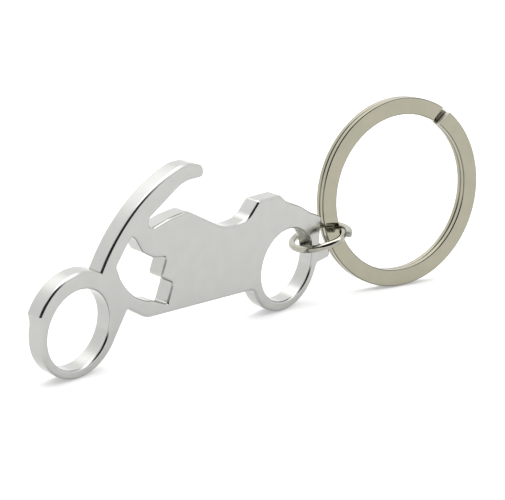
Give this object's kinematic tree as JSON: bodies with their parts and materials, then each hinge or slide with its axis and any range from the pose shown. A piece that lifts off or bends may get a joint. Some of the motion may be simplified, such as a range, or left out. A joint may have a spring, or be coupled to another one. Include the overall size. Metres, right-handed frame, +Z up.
{
  "type": "keychain bottle opener",
  "caption": "Flat plated metal bottle opener cut to the outline of a motorcycle, hung from a jump ring on a split ring for keys.",
  "frame": {"origin": "middle of the footprint on the surface the object stands on", "axes": "+X from the opener's front wheel towards the key ring, +Y through the plate's thickness away from the viewer, +Z up"},
  "size_m": [0.0882, 0.0132, 0.03],
  "materials": {
    "opener_plate": "polished plated steel or zinc plate",
    "jump_ring": "bright plated round wire",
    "split_ring": "bright nickel-plated flat spring wire"
  },
  "bodies": {
    "opener_plate": {"opener_plate": "opener_plate"},
    "jump_ring": {"jump_ring": "jump_ring"},
    "split_ring": {"split_ring": "split_ring"}
  },
  "joints": [
    {"name": "jump_ring_swing", "type": "hinge", "parent": "opener_plate", "child": "jump_ring", "pos_m": [0.0133, 0.0017, 0.00945], "axis": [0, 0, 1], "range_deg": [-70, 100]},
    {"name": "split_ring_turn", "type": "hinge", "parent": "jump_ring", "child": "split_ring", "pos_m": [0.02927, -0.0026, 0.01508], "axis": [-0.2559, -0.9618, 0.0976], "continuous": true}
  ]
}
